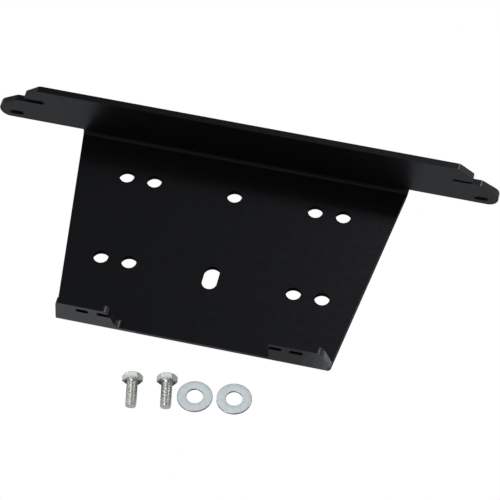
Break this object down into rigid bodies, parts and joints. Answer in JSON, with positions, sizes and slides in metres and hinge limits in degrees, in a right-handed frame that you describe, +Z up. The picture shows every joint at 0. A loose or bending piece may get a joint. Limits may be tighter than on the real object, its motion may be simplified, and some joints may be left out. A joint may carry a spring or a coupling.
{
  "type": "winch mounting plate",
  "caption": "Bent steel winch mounting plate for a utility quad, with winged flange, front tabs, and loose zinc bolts and washers.",
  "frame": {"origin": "centre of the winch hole pattern, on the underside of the web", "axes": "+X along the flange to the right wing, +Y from the front tabs to the flange, +Z up out of the web"},
  "size_m": [0.3856, 0.2363, 0.0443],
  "materials": {
    "powder_coat": "satin",
    "zinc_bolt": "satin",
    "zinc_washer": "satin"
  },
  "bodies": {
    "plate": {"mount_plate": "powder_coat"},
    "bolt_left": {"hex_bolt_left": "zinc_bolt"},
    "bolt_right": {"hex_bolt_right": "zinc_bolt"},
    "washer_left": {"flat_washer_left": "zinc_washer"},
    "washer_right": {"flat_washer_right": "zinc_washer"}
  },
  "joints": [
    {"name": "bolt_left_lift", "type": "slide", "parent": "plate", "child": "bolt_left", "axis": [0, 0, 1], "range_m": [0, 0.06]},
    {"name": "bolt_right_lift", "type": "slide", "parent": "plate", "child": "bolt_right", "axis": [0, 0, 1], "range_m": [0, 0.06]},
    {"name": "washer_left_lift", "type": "slide", "parent": "plate", "child": "washer_left", "axis": [0, 0, 1], "range_m": [0, 0.06]},
    {"name": "washer_right_lift", "type": "slide", "parent": "plate", "child": "washer_right", "axis": [0, 0, 1], "range_m": [0, 0.06]}
  ]
}
